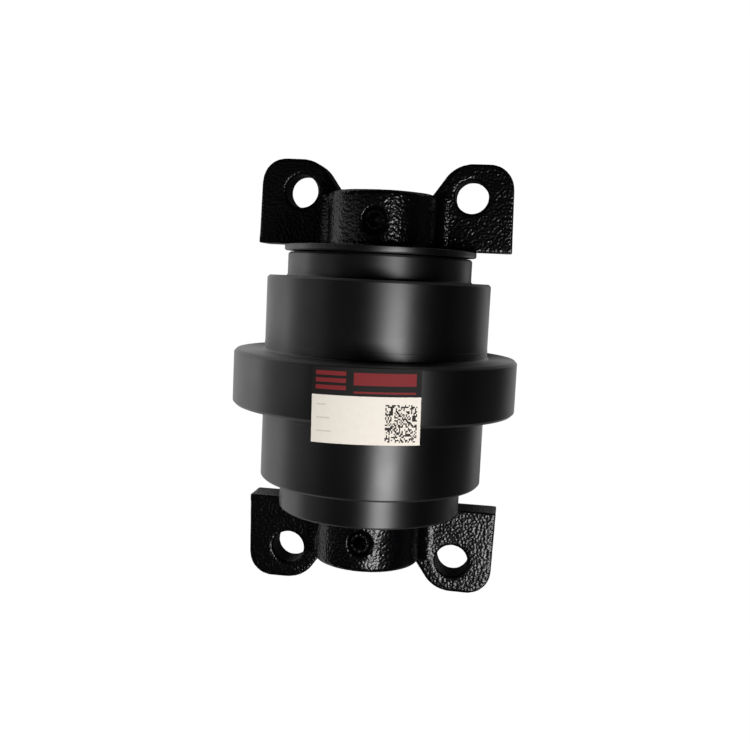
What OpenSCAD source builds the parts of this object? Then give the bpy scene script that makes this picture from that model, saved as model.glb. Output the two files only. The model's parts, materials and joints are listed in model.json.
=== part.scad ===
// Centre-flange track roller for a small crawler excavator, lifetime lubricated.
//
// The shaft lies along Y, and the origin is on its axis, halfway between the two
// collars. The mounting faces of the collars look down -Z. End A is the +Y end.
// The shell with its bushes and outer seal halves turns on the shaft. Everything
// else is pinned together and bolted to the track frame.

/* [Roller shell] */
// Diameter of the flange that runs between the two rows of chain links
flange_d = 150; // [142:1:156]
// Width of the flange
flange_w = 28.6; // [24:0.2:32]
// Diameter of the two treads that carry the chain
tread_d = 118; // [112:1:124]
// Length over both treads
treads_w = 106.6; // [100:0.2:112]
// Diameter of the step outboard of each tread
step_d = 97; // [95:0.5:99]
// Distance from the middle to the shell's face at end A
shell_end = 65.7; // [64:0.1:66]
// How far the skirt at end B reaches past the distance above
skirt_w = 3.9; // [3:0.1:4.1]
// Radius of the fillets at the roots of the flange and the treads
root_r = 1.2; // [0.5:0.1:3]
// Chamfer on every rim of the shell
rim_c = 1; // [0.5:0.1:1.5]

/* [Collars] */
// Diameter of the hub that holds the end of the shaft
hub_d = 57; // [54:0.5:60]
// Distance from the middle to the outer face of each hub
hub_end = 98.2; // [95:0.2:100]
// Distance from the middle to the inner faces of the ears
ear_in = 70.1; // [70:0.05:72]
// Diameter of the guard disc that shows at end A
disc_d = 101; // [99:0.5:104]
// Width of the guard disc
disc_w = 3.65; // [3.4:0.05:3.9]
// Height of the shaft's axis above the mounting faces
seat_h = 26.8; // [25:0.2:30]
// Thickness of the ears
ear_t = 18.3; // [14:0.1:20]
// Half width over the ears at their inner faces
ear_x = 68.9; // [67:0.1:72]
// Draft angle of the outer sides of the ears
ear_draft = 1.5; // [0:0.1:3]
// Radius of the outer corner of each ear
ear_corner_r = 13; // [10:0.5:15]
// Radius of the ear's rim round the bolt hole
boss_r = 17.2; // [15:0.1:18]
// Where the slanting edge leaves that rim, measured from +X
web_a = 145; // [140:1:150]
// Radius of the casting fillet between hub and ear
cast_r = 7; // [4:0.5:8]

/* [Bolts and pins] */
// Spacing of the bolt holes across the shaft
bolt_dx = 92; // [90:1:94]
// Spacing of the bolt holes along the shaft
bolt_dy = 198; // [196:1:200]
// Diameter of the clearance holes for M16 bolts
bolt_d = 17.5; // [17:0.5:19]
// Diameter of the spring pins that lock shaft and collars
pin_d = 12; // [10:0.5:12]
// Length of the spring pins
pin_len = 16; // [14:0.5:16]
// Distance from the middle to each spring pin
pin_y = 83; // [81:0.5:84]

/* [Shaft and bushes] */
// Diameter of the shaft
shaft_d = 38; // [37:0.5:38]
// Radial running clearance between shaft and bushes
bush_gap = 0.05; // [0.02:0.01:0.08]
// Wall of the bushes
bush_wall = 2.95; // [2.5:0.05:3.1]
// Distance from the middle to the inner end of each bush
bush_in = 10; // [9:0.5:14]
// Distance from the middle to the thrust face of each bush
thrust_y = 46; // [45:0.5:46]
// End float between each bush and its collar
float_y = 0.3; // [0.2:0.05:0.5]

/* [Seals and label] */
// Distance from the middle to the lapped faces of each seal
seal_y = 57; // [56.5:0.1:57.5]
// Radius of the bores that the torics seat in
seal_r = 35.3; // [35:0.1:35.6]
// Width of the label round the flange
label_w = 51.5; // [40:0.5:60]
// Height of the label along the shaft
label_h = 35.4; // [30:0.2:40]

/* [Hidden] */
$fn = 96;

// Small extra that carries a cut past the face it opens
EPS = 0.5;

flange_r = flange_d / 2;
tread_r = tread_d / 2;
step_r = step_d / 2;
shaft_r = shaft_d / 2;
hub_r = hub_d / 2;
disc_r = disc_d / 2;
bolt_x = bolt_dx / 2;
bolt_y = bolt_dy / 2;
bolt_r = bolt_d / 2;
pin_r = pin_d / 2;

// Bushes
bush_ri = shaft_r + bush_gap;
bush_ro = bush_ri + bush_wall;
thrust_t = 3;
thrust_r = 27;
bush_groove_w = 4;
bush_groove_h = 0.6;
reservoir_r = 26;
reservoir_w = 16;

// Labyrinth between shell and collar nose, and skirt round the disc at end B
laby_r = 40;
laby_y = seal_y - 1;
laby_gap = 1.1;
nose_r = laby_r - laby_gap;
nose_y = seal_y + 1;
skirt_bore_r = 45;
inner_disc_r = skirt_bore_r - 1;
skirt_end = shell_end + skirt_w;
cup_y = ear_in - disc_w - 0.15;
disc_c = 0.6;
disc_bevel_w = 0.7;
disc_bevel_h = 2;
boss_ro = 27;

// Seal rings and torics
ring_ri = 29;
ring_waist_r = 31.2;
ring_ro = 34.8;
ring_len = 7;
ring_lip = 1.8;
ring_neck = 2.5;
lap_gap = 0.025;
toric_r = 2.2;
toric_off = 5.5;

// Ear outline
ear_top = bolt_y + boss_r;
corner_y = ear_top - ear_corner_r;
corner_x = ear_x - (corner_y - ear_in) * tan(ear_draft) - ear_corner_r / cos(ear_draft);
web_px = bolt_x + boss_r * cos(web_a);
web_py = bolt_y + boss_r * sin(web_a);
web_x = web_px - (web_py - hub_end) * tan(180 - web_a);
ear_z = ear_t - seat_h;
hub_c = 1.5;
hole_c = 0.8;

// Spring pins
pin_wall = 2.5;
pin_slot = 1.6;
pin_top = hub_r - 2;
pin_foot = pin_top - pin_len;
pin_lead = 1.2;

// Shaft details
shaft_end = 95.8;
shaft_c = 1;
groove_y = 73;
groove_w = 2.8;
groove_r = 17.2;
cord_r = 1.2;
oil_r = 3;
cross_r = 2.5;
tap_r = 6;
tap_len = 12;
recess_r = 9.5;
recess_len = 5;
centre_r = 4;
centre_len = 6;

// Oil plug
plug_head_r = 8.5;
plug_head_t = 3.4;
plug_stem = 10;
washer_t = 1.2;
hex_af = 6;
hex_depth = 5;

// Label
label_t = 0.15;
label_top = 13;
label_mid_a = 5.3;
label_a = label_w / flange_r * 180 / PI;

// Turns a profile drawn as radius and height round the shaft's axis
module turned() {
    rotate([-90, 0, 0]) rotate_extrude() children();
}

// Mirrors a piece of end A to end B
module at_end_b() {
    mirror([0, 1, 0]) children();
}

// Half section of a round bar with chamfered rims
module bar(r, y0, y1, c) {
    polygon([[0, y0], [r - c, y0], [r, y0 + c], [r, y1 - c], [r - c, y1], [0, y1]]);
}

// Concave corner piece in the quadrant above and outside the corner
module corner_fillet(r) {
    difference() {
        square(r);
        translate([r, r]) circle(r);
    }
}

// Half section of a ring from radius r0 to r1 and from height y0 to y1
module band(r0, r1, y0, y1) {
    translate([r0, y0]) square([r1 - r0, y1 - y0]);
}

// What end A's bore takes out of the shell, drawn from the middle outwards
module shell_bore_half() {
    band(0, bush_ro, -EPS, thrust_y);
    band(0, thrust_r + 0.5, thrust_y - thrust_t, thrust_y);
    band(0, seal_r, thrust_y, seal_y);
    band(0, laby_r, laby_y, skirt_end + EPS);
}

module shell_section() {
    difference() {
        union() {
            bar(step_r, -skirt_end, shell_end, rim_c);
            bar(tread_r, -treads_w / 2, treads_w / 2, rim_c);
            bar(flange_r, -flange_w / 2, flange_w / 2, rim_c);
            for (side = [0, 1]) mirror([0, side]) {
                translate([tread_r, flange_w / 2]) corner_fillet(root_r);
                translate([step_r, treads_w / 2]) corner_fillet(root_r);
            }
        }
        shell_bore_half();
        mirror([0, 1]) shell_bore_half();
        band(0, reservoir_r, -reservoir_w / 2, reservoir_w / 2);
        band(0, skirt_bore_r, -skirt_end - EPS, -shell_end);
    }
}

module roller_shell() {
    color("#1b1c1e") turned() shell_section();
}

// Thin label stuck round the flange, hanging a little over its edge
module label() {
    color("#e9e6df")
    translate([0, label_top - label_h, 0])
    rotate([-90, 0, 0])
    rotate([0, 0, label_mid_a - label_a / 2 - 90])
    rotate_extrude(angle = label_a) band(flange_r, flange_r + label_t, 0, label_h);
}

module bush() {
    color("#a8793f") turned() difference() {
        union() {
            band(bush_ri, bush_ro, bush_in, thrust_y);
            band(bush_ri, thrust_r, thrust_y - thrust_t, thrust_y);
        }
        translate([bush_ri, (bush_in + thrust_y - bush_groove_w) / 2])
            square([bush_groove_h, bush_groove_w]);
    }
}

// Hardened seal ring on the shell's side, its lapped face at seal_y
module seal_ring() {
    color("#8d9094") turned() polygon([
        [ring_ri, seal_y - ring_len],
        [ring_waist_r, seal_y - ring_len],
        [ring_waist_r, seal_y - ring_neck],
        [ring_ro, seal_y - ring_lip],
        [ring_ro, seal_y - lap_gap],
        [ring_ri + 1, seal_y - lap_gap],
        [ring_ri, seal_y - lap_gap - 1]
    ]);
}

// Rubber toric squeezed between the seal ring and its bore
module toric() {
    color("#26272a") turned() intersection() {
        translate([(ring_waist_r + seal_r) / 2, seal_y - toric_off]) circle(toric_r);
        band(ring_waist_r, seal_r, seal_y - 2 * toric_off, seal_y);
    }
}

// Turns a shell-side seal piece round so that it faces the collar
module facing_collar() {
    translate([0, 2 * seal_y, 0]) mirror([0, 1, 0]) children();
}

module ear_outline() {
    polygon([
        [0, ear_in],
        [ear_x, ear_in],
        [corner_x + ear_corner_r * cos(ear_draft), corner_y + ear_corner_r * sin(ear_draft)],
        [corner_x, ear_top],
        [bolt_x, ear_top],
        [web_px, web_py],
        [web_x, hub_end],
        [0, hub_end]
    ]);
    translate([corner_x, corner_y]) circle(ear_corner_r);
    translate([bolt_x, bolt_y]) circle(boss_r);
}

// Casting fillet that runs along the foot of the hub
module hub_fillet() {
    fz = ear_z + cast_r;
    fx = sqrt(pow(hub_r + cast_r, 2) - pow(fz, 2));
    translate([0, hub_end, 0]) rotate([90, 0, 0]) linear_extrude(hub_end - ear_in)
        difference() {
            translate([0, ear_z - 1]) square([fx, fz - ear_z + 1]);
            translate([fx, fz]) circle(cast_r);
        }
}

module bolt_hole() {
    translate([bolt_x, bolt_y, -seat_h - EPS]) cylinder(h = ear_t + 2 * EPS, r = bolt_r);
    translate([bolt_x, bolt_y, ear_z - hole_c])
        cylinder(h = hole_c + 0.01, r1 = bolt_r, r2 = bolt_r + hole_c);
}

// Half section of a guard disc: a small chamfer towards the shell, a flat bevel towards the ears
module guard_disc(r) {
    polygon([
        [0, ear_in - disc_w], [r - disc_c, ear_in - disc_w], [r, ear_in - disc_w + disc_c],
        [r, ear_in - disc_bevel_w], [r - disc_bevel_h, ear_in], [0, ear_in]
    ]);
}

// Half section of hub, guard disc and nose
module collar_section(guard_r) {
    difference() {
        union() {
            bar(hub_r, ear_in - disc_w, hub_end, hub_c);
            guard_disc(guard_r);
            band(0, nose_r, nose_y, ear_in);
            band(0, boss_ro, thrust_y + float_y, ear_in);
        }
        band(boss_ro, seal_r, nose_y - EPS, cup_y);
    }
}

module collar(guard_r) {
    color("#141414") difference() {
        union() {
            turned() collar_section(guard_r);
            for (side = [0, 1]) mirror([side, 0, 0]) {
                translate([0, 0, -seat_h]) linear_extrude(ear_t) ear_outline();
                hub_fillet();
            }
        }
        translate([0, thrust_y, 0]) rotate([-90, 0, 0])
            cylinder(h = hub_end, r = shaft_r);
        translate([-hub_r, ear_in, -2 * hub_r - seat_h]) cube([hub_d, hub_end, 2 * hub_r]);
        for (side = [0, 1]) mirror([side, 0, 0]) bolt_hole();
        translate([0, pin_y, 0]) cylinder(h = hub_r + EPS, r = pin_r);
        translate([0, pin_y, pin_top + 0.5]) cylinder(h = 2, r1 = pin_r, r2 = pin_r + 1.5);
    }
}

module shaft() {
    color("#6f7276") difference() {
        turned() difference() {
            bar(shaft_r, -shaft_end, shaft_end, shaft_c);
            for (side = [0, 1]) mirror([0, side])
                band(groove_r, shaft_r + EPS, groove_y, groove_y + groove_w);
        }
        for (side = [-1, 1]) translate([0, side * pin_y, pin_foot]) cylinder(h = hub_r, r = pin_r);
        rotate([-90, 0, 0]) cylinder(h = shaft_end, r = oil_r);
        translate([0, 0, -hub_r]) cylinder(h = hub_d, r = cross_r);
        translate([0, shaft_end - recess_len - tap_len, 0]) rotate([-90, 0, 0])
            cylinder(h = tap_len + EPS, r = tap_r);
        translate([0, shaft_end - recess_len, 0]) rotate([-90, 0, 0])
            cylinder(h = recess_len + EPS, r = recess_r);
        translate([0, -shaft_end - 0.01, 0]) rotate([-90, 0, 0])
            cylinder(h = centre_len, r1 = centre_r, r2 = 1);
    }
}

// Slotted spring pin, its leads chamfered at both ends
module lock_pin() {
    color("#4c4e52") translate([0, pin_y, pin_foot]) difference() {
        rotate_extrude() difference() {
            bar(pin_r, 0, pin_len, pin_lead);
            band(0, pin_r - pin_wall, -EPS, pin_len + EPS);
        }
        translate([-pin_r - EPS, -pin_slot / 2, -EPS])
            cube([pin_r + EPS, pin_slot, pin_len + 2 * EPS]);
    }
}

module shaft_o_ring() {
    color("#202124") turned() intersection() {
        translate([(groove_r + shaft_r) / 2, groove_y + groove_w / 2]) circle(cord_r);
        band(groove_r, shaft_r, groove_y, groove_y + groove_w);
    }
}

module oil_plug() {
    face_y = shaft_end - recess_len + washer_t;
    color("#8a8478") translate([0, face_y, 0]) rotate([-90, 0, 0]) difference() {
        union() {
            cylinder(h = plug_head_t, r = plug_head_r);
            translate([0, 0, -plug_stem]) cylinder(h = plug_stem + EPS, r = tap_r);
        }
        translate([0, 0, plug_head_t - hex_depth])
            cylinder(h = hex_depth + EPS, r = hex_af / sqrt(3), $fn = 6);
    }
}

module plug_washer() {
    color("#b06a3c") translate([0, shaft_end - recess_len, 0]) rotate([-90, 0, 0]) difference() {
        cylinder(h = washer_t, r = plug_head_r + 0.5);
        translate([0, 0, -EPS]) cylinder(h = washer_t + 2 * EPS, r = tap_r);
    }
}

roller_shell();
label();
bush();  // bush_a
at_end_b() bush();  // bush_b
seal_ring();  // seal_ring_shell_a
at_end_b() seal_ring();  // seal_ring_shell_b
toric();  // toric_shell_a
at_end_b() toric();  // toric_shell_b
shaft();
collar(disc_r);  // collar_a
at_end_b() collar(inner_disc_r);  // collar_b
lock_pin();  // lock_pin_a
at_end_b() lock_pin();  // lock_pin_b
facing_collar() seal_ring();  // seal_ring_collar_a
at_end_b() facing_collar() seal_ring();  // seal_ring_collar_b
facing_collar() toric();  // toric_collar_a
at_end_b() facing_collar() toric();  // toric_collar_b
shaft_o_ring();  // shaft_o_ring_a
at_end_b() shaft_o_ring();  // shaft_o_ring_b
oil_plug();
plug_washer();
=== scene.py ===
import json
import math
from collections import namedtuple

import bmesh
import bpy
from mathutils import Matrix, Vector, noise


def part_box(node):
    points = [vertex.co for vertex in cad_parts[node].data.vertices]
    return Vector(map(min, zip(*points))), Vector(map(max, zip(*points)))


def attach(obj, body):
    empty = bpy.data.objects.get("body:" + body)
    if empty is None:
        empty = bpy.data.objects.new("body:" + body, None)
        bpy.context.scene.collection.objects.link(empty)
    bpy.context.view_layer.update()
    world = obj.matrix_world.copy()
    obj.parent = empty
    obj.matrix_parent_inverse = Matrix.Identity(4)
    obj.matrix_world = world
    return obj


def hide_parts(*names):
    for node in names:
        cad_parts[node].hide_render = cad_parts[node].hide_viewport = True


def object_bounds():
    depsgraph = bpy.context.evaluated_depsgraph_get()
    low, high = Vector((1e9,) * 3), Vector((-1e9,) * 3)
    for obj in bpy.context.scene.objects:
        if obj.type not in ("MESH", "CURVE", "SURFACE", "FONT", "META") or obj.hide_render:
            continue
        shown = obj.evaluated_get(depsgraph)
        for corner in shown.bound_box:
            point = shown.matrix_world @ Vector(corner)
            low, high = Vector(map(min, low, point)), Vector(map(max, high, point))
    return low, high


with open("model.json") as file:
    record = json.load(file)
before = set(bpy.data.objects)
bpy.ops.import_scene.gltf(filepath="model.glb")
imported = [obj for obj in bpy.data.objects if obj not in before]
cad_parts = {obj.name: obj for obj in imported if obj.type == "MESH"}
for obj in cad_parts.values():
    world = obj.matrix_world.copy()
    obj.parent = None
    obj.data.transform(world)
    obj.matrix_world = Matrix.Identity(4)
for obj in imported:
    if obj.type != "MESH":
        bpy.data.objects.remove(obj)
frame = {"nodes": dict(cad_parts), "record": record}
CAD_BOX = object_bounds()

MM = 0.001
TAU = 2 * math.pi

# ---------------------------------------------------------------- sizes, mm

SHELL_LO, SHELL_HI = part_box("roller_shell")
COLLAR_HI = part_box("collar_a")[1]
INNER_COLLAR_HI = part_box("collar_b")[1]
SHAFT_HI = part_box("shaft")[1]
BUSH_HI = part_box("bush_a")[1]
TORIC_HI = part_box("toric_shell_a")[1]
LABEL_LO, LABEL_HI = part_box("label")
MOUNTS = {mount["name"]: [v / MM for v in mount["pos_m"]] for mount in frame["record"]["mounts"]}

# The shell's outside: flange, treads and steps, their rims and roots
FLANGE_R = SHELL_HI.x / MM
SHELL_END_A = SHELL_HI.y / MM
SHELL_END_B = SHELL_LO.y / MM
TREAD_R = MOUNTS["chain_treads"][2]
STEP_R = 48.5
FLANGE_HALF = 14.3
TREADS_HALF = 53.3
ROOT_R = 1.2
RIM = 1.2
FLANGE_RIM = 1.5
END_RIM = 1.0
PAINT_EDGE = 0.25

# A low land that the tool left on each tread, beside the flange
LAND_W = 4.6
LAND_H = 0.12

# The shell's inside: bore for the bushes, pockets for thrust flange and seal, labyrinth and skirt
BORE_R = 22.0
THRUST_R = BUSH_HI.x / MM + 0.5
THRUST_OUT = BUSH_HI.y / MM
THRUST_IN = THRUST_OUT - 3.0
SEAL_R = TORIC_HI.x / MM
LABYRINTH_R = 40.0
LABYRINTH_IN = 56.0
SKIRT_BORE_R = 45.0
BORE_RIM = 0.6
SKIRT_RIM = 0.5

# The collars: guard disc, nose, ears and mounting faces
DISC_R = COLLAR_HI.z / MM
INNER_DISC_R = INNER_COLLAR_HI.z / MM
DISC_W = 3.65
DISC_RIM = 0.6
DISC_BEVEL_W = 0.7
EAR_IN = 70.1
NOSE_R = 38.9
NOSE_LEN = 10.0
NOSE_RIM = 0.6
GUARD_BORE_R = 26.0
SHAFT_R = SHAFT_HI.x / MM
SEAT_Z = MOUNTS["seat_a"][2]
BLACK_FROM = 76.0

# The casting's skin: waves of two lengths with their heights, shifted so that they never line up, and how
# far the pattern shrank. The waves stop short of bores and mounting faces.
SKIN_VOXEL = 0.8
SKIN_ROUNDS = 8
BROAD_WAVE = (7.0, 0.08)
CLOSE_WAVE = (2.2, 0.04)
WAVE_SHIFT = (9.1, 3.7, 5.3)
SHRINK = 0.10
GUARD_COVER = 0.5
SKIN_MARGIN = 1.0
GRAIN_FROM = SEAT_Z + 0.2
GRAIN_FULL = SEAT_Z + 1.2

# The label, its print measured from its lower left corner
LABEL_W = 51.5
LABEL_H = (LABEL_HI.y - LABEL_LO.y) / MM
LABEL_TILT = 1.0
FILM_T = 0.1
FILM_LIFT = 0.04
HEADER_Y = 22.4
STRIPES = [((1.8, 16.4), (y, y + 2.0)) for y in (25.0, 28.3, 31.6)]
RED_BARS = STRIPES + [((20.0, 49.0), (27.4, 33.2)), ((20.0, 49.0), (23.7, 24.6))]
GREY_ROWS = [(17.6, 7.0), (11.4, 9.0), (5.2, 10.0)]
GREY_X = 2.5
GREY_H = 0.7
CELL_W = 0.6
CELL_H = 0.7
CODE_X = (CELL_W * 58, CELL_W * 83)
CODE_Y = (CELL_H * 2, CELL_H * 27)
CODE_PALE = 0.52

# The camera's turn in degrees, its distance and its aim beside the origin
CAMERA_TURN = (7.93, 6.0, 2.74)
CAMERA_DISTANCE = 502.05
CAMERA_AIM = (0.22, 2.27)
CAMERA_LENS = 44.9

# The paper's glow in reflections, painted light and painted shade, in metres and strength. Along X it starts
# bright on the far left, is almost nothing under the roller as painted shade, and shines again close by on
# the right. A painted shadow of the ears darkens both ends.
GLOW_LEFT = 1.2
GLOW_STEPS = [(-0.40, -0.09, -0.45), (-0.09, -0.05, -0.70), (0.05, 0.08, 0.65), (0.08, 0.20, -0.65)]
PAINTED_EAR_SHADOW = [("X", 0.080, 0.100), ("Y", 0.050, 0.042)]
PAINTED_SHADOW_LEVEL = 0.25
PAPER_HALF = 3.0

# Lamps and panels: name, place, aim and size in metres, power in watts
LAMPS = [
    ("lamp", (0.295, -0.21, 0.68), (0, -0.01, 0.05), (0.50, 0.12), 7.9),
    ("low_panel", (-0.6, 0.0, 0.065), (0, 0, 0.065), (0.19, 1.2), 0.8),
    ("high_panel", (-0.55, 0.0, 0.4), (0, 0, 0.05), (0.5, 1.2), 0.32),
]


# ---------------------------------------------------------------- colour and nodes

BLACK = "#030304"
SMOOTH = {"interpolation_type": "SMOOTHSTEP"}
COLOURS = {"data_type": "RGBA"}
MULTIPLY = {"operation": "MULTIPLY"}
SIZE_OF = {"operation": "ABSOLUTE"}


def srgb(code, alpha=1.0):
    """An sRGB hex code such as #1a1b1c as linear red, green, blue and alpha."""
    parts = [int(code[i:i + 2], 16) / 255 for i in (1, 3, 5)]
    linear = [p / 12.92 if p <= 0.04045 else ((p + 0.055) / 1.055) ** 2.4 for p in parts]
    return (*linear, alpha)


def result(made):
    """The output that a link from a node starts at: the colour of a colour mix, otherwise the first."""
    return made.outputs[2 if getattr(made, "data_type", "") == "RGBA" else 0]


def node(tree, kind, settings=None, **links):
    """Adds a node. settings go on the node, links on its inputs by name or, as in0, by place."""
    made = tree.nodes.new(kind)
    for key, value in (settings or {}).items():
        setattr(made, key, value)
    for key, value in links.items():
        place = int(key[2:]) if key[:2] == "in" and key[2:].isdigit() else key.replace("_", " ")
        socket = made.inputs[place]
        if isinstance(value, bpy.types.Node):
            value = result(value)
        if isinstance(value, bpy.types.NodeSocket):
            tree.links.new(value, socket)
        else:
            socket.default_value = value
    return made


def new_material(name, **constants):
    """A node material with its shader's constants set: material, tree, shader and Object coordinates."""
    material = bpy.data.materials.new(name)
    material.use_nodes = True
    tree = material.node_tree
    tree.nodes.clear()
    shader = tree.nodes.new("ShaderNodeBsdfPrincipled")
    output = tree.nodes.new("ShaderNodeOutputMaterial")
    tree.links.new(shader.outputs["BSDF"], output.inputs["Surface"])
    for key, value in constants.items():
        shader.inputs[key.replace("_", " ")].default_value = value
    place = tree.nodes.new("ShaderNodeTexCoord").outputs["Object"]
    return material, tree, shader, place


def drive(tree, shader, **links):
    """Links nodes to the shader's inputs."""
    for key, value in links.items():
        tree.links.new(result(value), shader.inputs[key.replace("_", " ")])


def per_metre(size_mm):
    """The Scale of a noise node whose cells are size_mm across."""
    return 1 / (size_mm * MM)


# ---------------------------------------------------------------- materials

def shell_enamel():
    """Black enamel over a turned forging: the tool's fine grooves spread each highlight along the shaft."""
    material, tree, shader, place = new_material(
        "sprayed_enamel_on_turned_steel",
        Base_Color=srgb(BLACK), IOR=1.6, Anisotropic=0.8, Anisotropic_Rotation=0.25,
    )
    around = node(tree, "ShaderNodeTangent", {"direction_type": "RADIAL", "axis": "Y"})
    # Handling and overspray leave patches a few centimetres across, a little duller than the rest
    patch = node(tree, "ShaderNodeTexNoise", Vector=place, Scale=per_metre(26), Detail=3.0)
    rough = node(
        tree, "ShaderNodeMapRange", SMOOTH,
        Value=patch, From_Min=0.35, From_Max=0.65, To_Min=0.43, To_Max=0.47,
    )
    # Orange peel has waves of about 3 mm, a few hundredths of a millimetre high
    peel = node(tree, "ShaderNodeTexNoise", Vector=place, Scale=per_metre(3.2), Detail=2.0)
    bump = node(tree, "ShaderNodeBump", Strength=0.25, Distance=0.05 * MM, Height=peel)
    drive(tree, shader, Tangent=around, Roughness=rough, Normal=bump)
    return material


def cast_enamel():
    """Black enamel over the skin of a sand casting: each grain of sand left its own small highlight."""
    material, tree, shader, place = new_material(
        "enamel_on_sand_cast_iron",
        Base_Color=srgb(BLACK), IOR=1.5, Roughness=0.23, Specular_IOR_Level=0.2,
    )
    # Real grains are about half a millimetre wide, drawn coarser here so that they show
    grain = node(tree, "ShaderNodeTexNoise", Vector=place, Scale=per_metre(1.4), Detail=0.5)
    # Only the mounting faces underneath are machined
    height = node(tree, "ShaderNodeSeparateXYZ", Vector=place).outputs["Z"]
    strength = node(
        tree, "ShaderNodeMapRange", SMOOTH,
        Value=height, From_Min=GRAIN_FROM * MM, From_Max=GRAIN_FULL * MM, To_Min=0.05, To_Max=1.0,
    )
    bump = node(tree, "ShaderNodeBump", Strength=strength, Distance=0.36 * MM, Height=grain)
    drive(tree, shader, Normal=bump)
    return material


def tool_marks(tree, place, size_mm, low, high):
    """Fine marks that run round the shaft: a roughness from low to high, and a bump."""
    squeezed = node(tree, "ShaderNodeMapping", Vector=place, Scale=(1, 12, 1))
    marks = node(tree, "ShaderNodeTexNoise", Vector=squeezed, Scale=per_metre(size_mm), Detail=3.0)
    rough = node(
        tree, "ShaderNodeMapRange", SMOOTH, Value=marks, From_Min=0.3, From_Max=0.7, To_Min=low, To_Max=high,
    )
    bump = node(tree, "ShaderNodeBump", Strength=0.15, Distance=0.02 * MM, Height=marks)
    return rough, bump


def metal(name, colour, roughness, mark_mm):
    """Bare or plated metal whose tool marks vary its gloss."""
    material, tree, shader, place = new_material(name, Base_Color=srgb(colour), Metallic=1.0)
    rough, bump = tool_marks(tree, place, mark_mm, roughness - 0.08, roughness + 0.08)
    drive(tree, shader, Roughness=rough, Normal=bump)
    return material


def shaft_steel():
    """Ground shaft steel: bright inside, and sprayed black where its ends show."""
    material, tree, shader, place = new_material("ground_steel_with_sprayed_ends")
    along = node(tree, "ShaderNodeSeparateXYZ", Vector=place).outputs["Y"]
    out = node(tree, "ShaderNodeMath", SIZE_OF, in0=along)
    bare = node(
        tree, "ShaderNodeMapRange", SMOOTH, Value=out,
        From_Min=(BLACK_FROM - 0.5) * MM, From_Max=(BLACK_FROM + 0.5) * MM, To_Min=1.0, To_Max=0.0,
    )
    colour = node(tree, "ShaderNodeMix", COLOURS, Factor=bare, in6=srgb(BLACK), in7=srgb("#8f9194"))
    rough, bump = tool_marks(tree, place, 1.5, 0.24, 0.36)
    drive(tree, shader, Metallic=bare, Base_Color=colour, Roughness=rough, Normal=bump)
    return material


def nitrile():
    """Moulded nitrile rubber: dull black with a fine skin."""
    material, tree, shader, place = new_material(
        "moulded_nitrile_rubber", Base_Color=srgb("#1c1c1d"), IOR=1.52,
    )
    skin = node(tree, "ShaderNodeTexNoise", Vector=place, Scale=per_metre(0.8), Detail=2.0)
    rough = node(
        tree, "ShaderNodeMapRange", SMOOTH, Value=skin, From_Min=0.3, From_Max=0.7, To_Min=0.5, To_Max=0.68,
    )
    bump = node(tree, "ShaderNodeBump", Strength=0.2, Distance=0.03 * MM, Height=skin)
    drive(tree, shader, Roughness=rough, Normal=bump)
    return material


def inside(tree, value, low, high, soft=0.06):
    """1 where value lies between low and high, 0 outside, with edges that fade over soft."""
    sides = [
        node(
            tree, "ShaderNodeMapRange", SMOOTH,
            Value=value, From_Min=edge - soft, From_Max=edge + soft, To_Min=before, To_Max=1.0 - before,
        )
        for edge, before in ((low, 0.0), (high, 1.0))
    ]
    return node(tree, "ShaderNodeMath", MULTIPLY, in0=sides[0], in1=sides[1])


def rectangle(tree, across, up, x, y):
    """1 inside the rectangle x[0]..x[1] by y[0]..y[1], all in millimetres on the label."""
    return node(tree, "ShaderNodeMath", MULTIPLY, in0=inside(tree, across, *x), in1=inside(tree, up, *y))


def random_cells(tree, place, block):
    """1 in about half of the label's small cells inside block, picked at random."""
    cells = node(tree, "ShaderNodeVectorMath", {"operation": "DIVIDE"}, in0=place, in1=(CELL_W, CELL_H, 1))
    corner = node(tree, "ShaderNodeVectorMath", {"operation": "FLOOR"}, in0=cells)
    chance = node(tree, "ShaderNodeTexWhiteNoise", {"noise_dimensions": "2D"}, Vector=corner)
    dark = node(tree, "ShaderNodeMath", {"operation": "GREATER_THAN"}, in0=chance, in1=CODE_PALE)
    return node(tree, "ShaderNodeMath", MULTIPLY, in0=dark, in1=block)


def label_film():
    """Printed polyester: cream, with a dark header, red bars, grey lines and a block of random cells."""
    material, tree, shader, _ = new_material(
        "printed_polyester_label", Roughness=0.75, Specular_IOR_Level=0.25,
    )
    place = node(tree, "ShaderNodeUVMap", {"uv_map": "print"}).outputs["UV"]
    split = node(tree, "ShaderNodeSeparateXYZ", Vector=place)
    across, up = split.outputs["X"], split.outputs["Y"]
    grain = node(tree, "ShaderNodeTexNoise", Vector=place, Scale=0.4, Detail=2.0)
    colour = node(tree, "ShaderNodeMix", COLOURS, Factor=grain, in6=srgb("#d3ccc2"), in7=srgb("#cbc4b9"))
    inks = [(inside(tree, up, HEADER_Y, LABEL_H + 1), "#0c0908")]
    inks += [(rectangle(tree, across, up, x, y), "#6a1a1d") for x, y in RED_BARS]
    inks += [
        (rectangle(tree, across, up, (GREY_X, end), (low, low + GREY_H)), "#b9b3a8") for low, end in GREY_ROWS
    ]
    inks.append((random_cells(tree, place, rectangle(tree, across, up, CODE_X, CODE_Y)), "#1e1b19"))
    for mask, ink in inks:
        colour = node(tree, "ShaderNodeMix", COLOURS, Factor=mask, in6=result(colour), in7=srgb(ink))
    drive(tree, shader, Base_Color=colour)
    return material


# ---------------------------------------------------------------- mesh helpers

# A corner of a turned profile: radius and y, then how much of it is cut away, round or as a flat chamfer
Corner = namedtuple("Corner", "r y size flat", defaults=(0, False))


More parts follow.
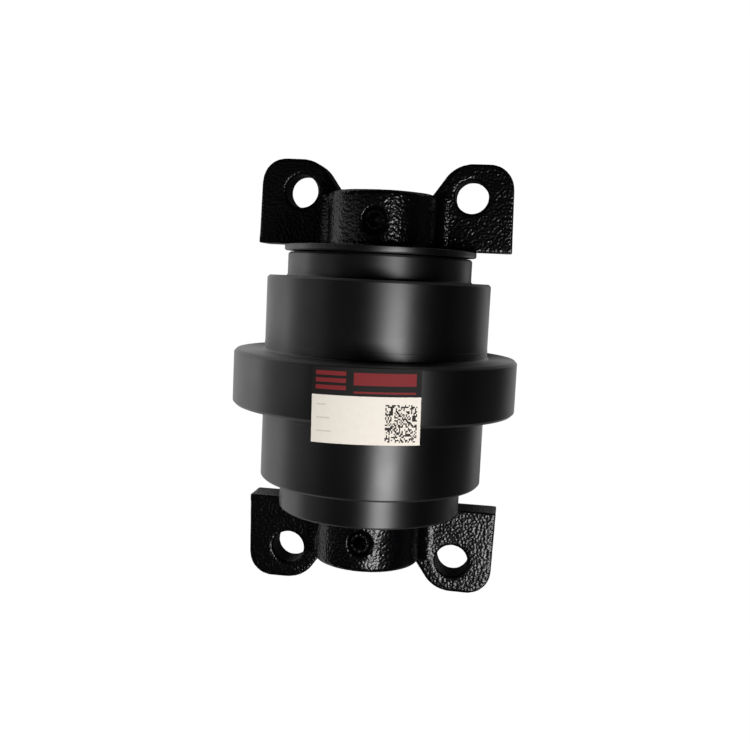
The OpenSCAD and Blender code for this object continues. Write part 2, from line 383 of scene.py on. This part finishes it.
def finish_mesh(bm, name, material, smooth_angle=35):
    """Makes an object of a bmesh, with outward faces, smooth shading and one material."""
    bmesh.ops.recalc_face_normals(bm, faces=bm.faces)
    mesh = bpy.data.meshes.new(name)
    bm.to_mesh(mesh)
    bm.free()
    mesh.materials.append(material)
    piece = bpy.data.objects.new(name, mesh)
    bpy.context.scene.collection.objects.link(piece)
    mesh.shade_smooth()
    mesh.set_sharp_from_angle(angle=math.radians(smooth_angle))
    return piece


def cut_corner(bm, verts, size, segments):
    """Bevels corners of a wire profile and gives back the new ones."""
    return bmesh.ops.bevel(
        bm, geom=verts, offset=size * MM, offset_type="OFFSET", segments=segments,
        profile=0.5, affect="VERTICES", material=-1,
    )["verts"]


def turned(name, corners, material, steps=180):
    """A closed profile of corners in mm, turned once round the shaft's axis."""
    bm = bmesh.new()
    verts = [bm.verts.new((corner.r * MM, corner.y * MM, 0)) for corner in corners]
    for i, vert in enumerate(verts):
        bm.edges.new((vert, verts[(i + 1) % len(verts)]))
    for vert, corner in zip(verts, corners):
        if corner.flat:
            # Paint rounds the two edges of a chamfer
            cut_corner(bm, cut_corner(bm, [vert], corner.size, 1), PAINT_EDGE, 3)
        elif corner.size:
            cut_corner(bm, [vert], corner.size, 4)
    bmesh.ops.spin(
        bm, geom=bm.verts[:] + bm.edges[:], cent=(0, 0, 0), axis=(0, 1, 0), angle=TAU,
        steps=steps, use_merge=True,
    )
    bmesh.ops.remove_doubles(bm, verts=bm.verts, dist=0.002 * MM)
    return finish_mesh(bm, name, material)


def copy_of(name):
    """A merged copy of a CAD node's mesh as a bmesh."""
    bm = bmesh.new()
    bm.from_mesh(frame["nodes"][name].data)
    bmesh.ops.remove_doubles(bm, verts=bm.verts, dist=0.001 * MM)
    return bm


# ---------------------------------------------------------------- shell

def make_shell(material):
    """The forged shell: two treads, the flange between them, and its bores for bushes and seals."""
    outer_b = [
        Corner(STEP_R, SHELL_END_B, END_RIM, True), Corner(STEP_R, -TREADS_HALF, ROOT_R),
        Corner(TREAD_R, -TREADS_HALF, RIM, True), Corner(TREAD_R, -FLANGE_HALF - LAND_W),
        Corner(TREAD_R + LAND_H, -FLANGE_HALF - LAND_W + LAND_H),
        Corner(TREAD_R + LAND_H, -FLANGE_HALF, ROOT_R), Corner(FLANGE_R, -FLANGE_HALF, FLANGE_RIM, True),
    ]
    outer_a = [corner._replace(y=-corner.y) for corner in reversed(outer_b[1:])]
    outer_a.append(Corner(STEP_R, SHELL_END_A, END_RIM, True))
    pocket_a = [
        Corner(LABYRINTH_R, LABYRINTH_IN), Corner(SEAL_R, LABYRINTH_IN), Corner(SEAL_R, THRUST_OUT),
        Corner(THRUST_R, THRUST_OUT), Corner(THRUST_R, THRUST_IN), Corner(BORE_R, THRUST_IN),
    ]
    pocket_b = [corner._replace(y=-corner.y) for corner in reversed(pocket_a)]
    mouth_a = [Corner(LABYRINTH_R, SHELL_END_A, BORE_RIM)]
    skirt = [
        Corner(LABYRINTH_R, -SHELL_END_A), Corner(SKIRT_BORE_R, -SHELL_END_A),
        Corner(SKIRT_BORE_R, SHELL_END_B, SKIRT_RIM),
    ]
    shell = turned("shell_body", outer_b + outer_a + mouth_a + pocket_a + pocket_b + skirt, material)
    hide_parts("roller_shell")
    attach(shell, "roller")


# ---------------------------------------------------------------- collars

def skin_height(point):
    """How far, in mm, the cast skin stands above the CAD surface at a point."""
    broad = noise.noise(point / (BROAD_WAVE[0] * MM))
    close = noise.noise(point / (CLOSE_WAVE[0] * MM) + Vector(WAVE_SHIFT))
    return BROAD_WAVE[1] * broad + CLOSE_WAVE[1] * close - SHRINK


def softened_copy(name):
    """A CAD node's mesh as a bmesh of small even faces, its edges rounded as in a sand mould."""
    mesh = bpy.data.meshes.new(f"{name}_skin")
    bm = copy_of(name)
    bm.to_mesh(mesh)
    bm.free()
    rough = bpy.data.objects.new(mesh.name, mesh)
    bpy.context.scene.collection.objects.link(rough)
    remesh = rough.modifiers.new("skin", "REMESH")
    remesh.mode = "VOXEL"
    remesh.voxel_size = SKIN_VOXEL * MM
    smooth = rough.modifiers.new("soften", "SMOOTH")
    smooth.factor = 0.5
    smooth.iterations = SKIN_ROUNDS
    graph = bpy.context.evaluated_depsgraph_get()
    bm = bmesh.new()
    bm.from_mesh(rough.evaluated_get(graph).to_mesh())
    bpy.data.objects.remove(rough)
    bm.normal_update()
    return bm


def make_casting(end, sign, material):
    """The cast body of a collar: softened edges and a skin that waves a little."""
    bm = softened_copy(f"collar_{end}")
    for vert in bm.verts:
        outboard = sign * vert.co.y / MM
        radius = math.hypot(vert.co.x, vert.co.z) / MM
        if outboard < EAR_IN - DISC_BEVEL_W and radius < DISC_R + SKIN_MARGIN:
            # The turned guard covers this part
            vert.co -= vert.normal * GUARD_COVER * MM
        elif radius > SHAFT_R + SKIN_MARGIN and vert.co.z / MM > SEAT_Z + SKIN_MARGIN:
            # The shaft's bore and the mounting faces are machined
            vert.co += vert.normal * skin_height(vert.co) * MM
    piece = finish_mesh(bm, f"casting_{end}", material, smooth_angle=180)
    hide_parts(f"collar_{end}")
    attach(piece, "mounting")


def make_guard(end, sign, radius, material):
    """The turned part of a collar: its guard disc and the nose that runs into the shell."""
    corners = [
        Corner(GUARD_BORE_R, EAR_IN - NOSE_LEN), Corner(NOSE_R, EAR_IN - NOSE_LEN, NOSE_RIM),
        Corner(NOSE_R, EAR_IN - DISC_W), Corner(radius, EAR_IN - DISC_W, DISC_RIM, True),
        Corner(radius, EAR_IN - DISC_BEVEL_W, PAINT_EDGE), Corner(GUARD_BORE_R, EAR_IN - DISC_BEVEL_W),
    ]
    piece = turned(f"guard_{end}", [corner._replace(y=sign * corner.y) for corner in corners], material)
    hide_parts(f"collar_{end}")
    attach(piece, "mounting")


# ---------------------------------------------------------------- label

def label_sheet(first, sweep):
    """The label's film as a bmesh: a strip bent round the flange from angle first through sweep."""
    bm = bmesh.new()
    low = LABEL_LO.y
    radius = (FLANGE_R + FILM_LIFT) * MM
    start = (math.sin(first) * radius, math.cos(first) * radius)
    ends = [bm.verts.new((start[0], y, start[1])) for y in (low, low + LABEL_H * MM)]
    bm.edges.new(ends)
    bmesh.ops.spin(
        bm, geom=bm.verts[:] + bm.edges[:], cent=(0, 0, 0), axis=(0, 1, 0), angle=sweep, steps=40,
    )
    lengthwise = [e for e in bm.edges if abs(e.verts[0].co.y - e.verts[1].co.y) > MM]
    bmesh.ops.subdivide_edges(bm, edges=lengthwise, cuts=12, use_grid_fill=True)
    sheet = bm.faces[:]
    bmesh.ops.recalc_face_normals(bm, faces=sheet)
    if sheet[0].normal.dot(sheet[0].calc_center_median()) < 0:
        bmesh.ops.reverse_faces(bm, faces=sheet)
    bmesh.ops.solidify(bm, geom=sheet, thickness=-FILM_T * MM)
    return bm


def make_label(material):
    """The label: a thin film stuck round the flange a little askew, its print laid out in millimetres."""
    first = math.atan2(LABEL_LO.x, math.sqrt((FLANGE_R * MM) ** 2 - LABEL_LO.x ** 2))
    sweep = LABEL_W / FLANGE_R
    bm = label_sheet(first, sweep)
    low = LABEL_LO.y
    uv = bm.loops.layers.uv.new("print")
    for face in bm.faces:
        for loop in face.loops:
            angle = math.atan2(loop.vert.co.x, loop.vert.co.z) - first
            loop[uv].uv = (angle * FLANGE_R, (loop.vert.co.y - low) / MM)
    middle = first + sweep / 2
    tilt = math.radians(LABEL_TILT)
    for vert in bm.verts:
        # Each point turns about the label's middle on the unrolled flange
        out = math.hypot(vert.co.x, vert.co.z)
        across = (math.atan2(vert.co.x, vert.co.z) - middle) * FLANGE_R * MM
        along = vert.co.y - low - LABEL_H * MM / 2
        angle = middle + (across * math.cos(tilt) - along * math.sin(tilt)) / (FLANGE_R * MM)
        height = across * math.sin(tilt) + along * math.cos(tilt)
        vert.co = Vector((out * math.sin(angle), low + LABEL_H * MM / 2 + height, out * math.cos(angle)))
    piece = finish_mesh(bm, "label_film", material)
    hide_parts("label")
    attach(piece, "roller")


def dress(names, material):
    """Gives CAD nodes whose shape is right a better material."""
    for name in names:
        for slot in frame["nodes"][name].material_slots:
            slot.material = material


# ---------------------------------------------------------------- camera and studio

def make_camera():
    """A short telephoto about half a metre above the roller, a little to the right and towards end A."""
    yaw, pitch, roll = (math.radians(angle) for angle in CAMERA_TURN)
    back = Vector((math.sin(yaw) * math.cos(pitch), math.sin(pitch), math.cos(yaw) * math.cos(pitch)))
    level_right = (-back).cross(Vector((0, 1, 0))).normalized()
    level_up = level_right.cross(-back)
    right = math.cos(roll) * level_right + math.sin(roll) * level_up
    up = math.cos(roll) * level_up - math.sin(roll) * level_right
    aim = CAMERA_AIM[0] * right + CAMERA_AIM[1] * up
    camera = bpy.data.objects.new("camera", bpy.data.cameras.new("camera"))
    bpy.context.scene.collection.objects.link(camera)
    camera.data.sensor_width = 36
    camera.data.lens = CAMERA_LENS
    camera.data.clip_start = 0.01
    axes = Matrix((right, up, back)).transposed().to_4x4()
    camera.matrix_world = Matrix.Translation((aim + CAMERA_DISTANCE * back) * MM) @ axes
    bpy.context.scene.camera = camera


def area_light(name, place, aim, size, power):
    """A rectangular soft light at place, aimed at a point, all in metres and watts."""
    data = bpy.data.lights.new(name, "AREA")
    data.shape = "RECTANGLE"
    data.size, data.size_y = size
    data.energy = power
    lamp = bpy.data.objects.new(name, data)
    lamp.location = place
    lamp.rotation_mode = "QUATERNION"
    lamp.rotation_quaternion = (Vector(aim) - Vector(place)).to_track_quat("-Z", "Y")
    bpy.context.scene.collection.objects.link(lamp)


def paper_sweep():
    """White paper that glows evenly to the eye; in reflections its glow is painted light and painted shade,
    uneven as under real lamps.
    """
    material, tree, shader, place = new_material(
        "white_paper_sweep",
        Base_Color=srgb("#000000"), Roughness=1.0, Emission_Color=srgb("#ffffff"),
    )
    split = node(tree, "ShaderNodeSeparateXYZ", Vector=place)
    # Painted light along X, with painted shade under the roller
    glow = 0.0
    for low, high, rise in GLOW_STEPS:
        step = node(
            tree, "ShaderNodeMapRange", SMOOTH,
            Value=split.outputs["X"], From_Min=low, From_Max=high, To_Min=0.0, To_Max=rise,
        )
        glow = node(tree, "ShaderNodeMath", {"operation": "ADD"}, in0=glow, in1=step)
    glow = node(tree, "ShaderNodeMath", {"operation": "ADD"}, in0=glow, in1=GLOW_LEFT)
    # Painted shadow of the ears, dimming the glow at both ends
    edges = []
    for axis, dark, clear in PAINTED_EAR_SHADOW:
        distance = node(tree, "ShaderNodeMath", SIZE_OF, in0=split.outputs[axis])
        edges.append(node(
            tree, "ShaderNodeMapRange", SMOOTH,
            Value=distance, From_Min=dark, From_Max=clear, To_Min=PAINTED_SHADOW_LEVEL, To_Max=1.0,
        ))
    shade = node(tree, "ShaderNodeMath", {"operation": "MAXIMUM"}, in0=edges[0], in1=edges[1])
    glow = node(tree, "ShaderNodeMath", MULTIPLY, in0=glow, in1=shade)
    seen = node(tree, "ShaderNodeLightPath").outputs["Is Camera Ray"]
    drive(tree, shader, Emission_Strength=node(
        tree, "ShaderNodeMix", {"data_type": "FLOAT"}, Factor=seen, in2=glow, in3=1.0,
    ))
    return material


def make_studio():
    """White paper under the roller, one wide soft lamp above towards end B, two dim panels on the left."""
    scene = bpy.context.scene
    scene.view_settings.view_transform = "Standard"
    bm = bmesh.new()
    bmesh.ops.create_grid(bm, x_segments=1, y_segments=1, size=PAPER_HALF)
    bmesh.ops.translate(bm, verts=bm.verts, vec=(0, 0, CAD_BOX[0].z))
    finish_mesh(bm, "floor", paper_sweep())
    world = bpy.data.worlds.new("studio")
    scene.world = world
    world.use_nodes = True
    # The room looks pale, but enamel mirrors it as dark, the way a studio is beside its lamps
    tree = world.node_tree
    seen = node(tree, "ShaderNodeLightPath").outputs["Is Camera Ray"]
    shade = node(tree, "ShaderNodeMix", COLOURS, Factor=seen, in6=srgb("#0a0a0a"), in7=srgb("#f4f4f4"))
    tree.links.new(result(shade), tree.nodes["Background"].inputs["Color"])
    for lamp in LAMPS:
        area_light(*lamp)


# ---------------------------------------------------------------- build

SEAL_RINGS = [f"seal_ring_{side}_{end}" for side in ("shell", "collar") for end in "ab"]
TORICS = [f"toric_{side}_{end}" for side in ("shell", "collar") for end in "ab"]

make_camera()
make_studio()
enamel = shell_enamel()
casting = cast_enamel()
make_shell(enamel)
make_casting("a", 1, casting)
make_casting("b", -1, casting)
make_guard("a", 1, DISC_R, enamel)
make_guard("b", -1, INNER_DISC_R, enamel)
make_label(label_film())
dress(["shaft"], shaft_steel())
dress(["lock_pin_a", "lock_pin_b"], casting)
dress(["bush_a", "bush_b"], metal("turned_bronze", "#b98a4e", 0.32, 1.2))
dress(["oil_plug"], metal("zinc_plated_steel", "#a7a59c", 0.34, 0.9))
dress(["plug_washer"], metal("annealed_copper", "#b4683f", 0.38, 0.9))
dress(SEAL_RINGS, metal("lapped_cast_iron", "#8b8e91", 0.3, 1.0))
dress(TORICS + ["shaft_o_ring_a", "shaft_o_ring_b"], nitrile())
